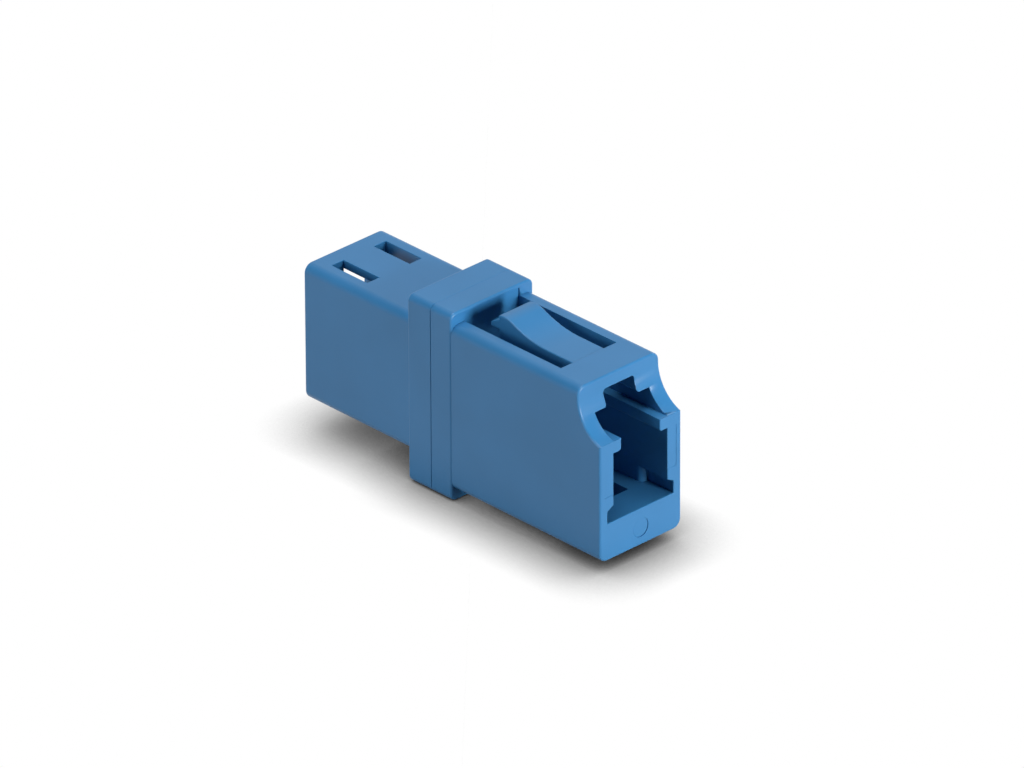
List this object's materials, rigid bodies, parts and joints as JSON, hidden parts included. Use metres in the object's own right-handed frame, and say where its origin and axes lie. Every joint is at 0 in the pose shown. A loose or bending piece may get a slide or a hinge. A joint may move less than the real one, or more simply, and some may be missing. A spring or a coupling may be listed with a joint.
{
  "type": "lc fibre adapter",
  "caption": "Square-bodied through adapter that joins two small latched fibre plugs end to end, snapping into a panel against its flange, with a scooped nose over the longer port.",
  "frame": {"origin": "middle of the split sleeve's bore, where the two fibres touch", "axes": "+Y along the fibre towards the short rear port, +Z towards the side of both ports that the plugs' latches are on, +X across"},
  "size_m": [0.007, 0.0262, 0.0131],
  "materials": {
    "blue_plastic": "satin moulded",
    "zirconia": "polished"
  },
  "bodies": {
    "root": {"front_housing": "blue_plastic", "rear_housing": "blue_plastic", "split_sleeve": "zirconia"}
  },
  "joints": []
}
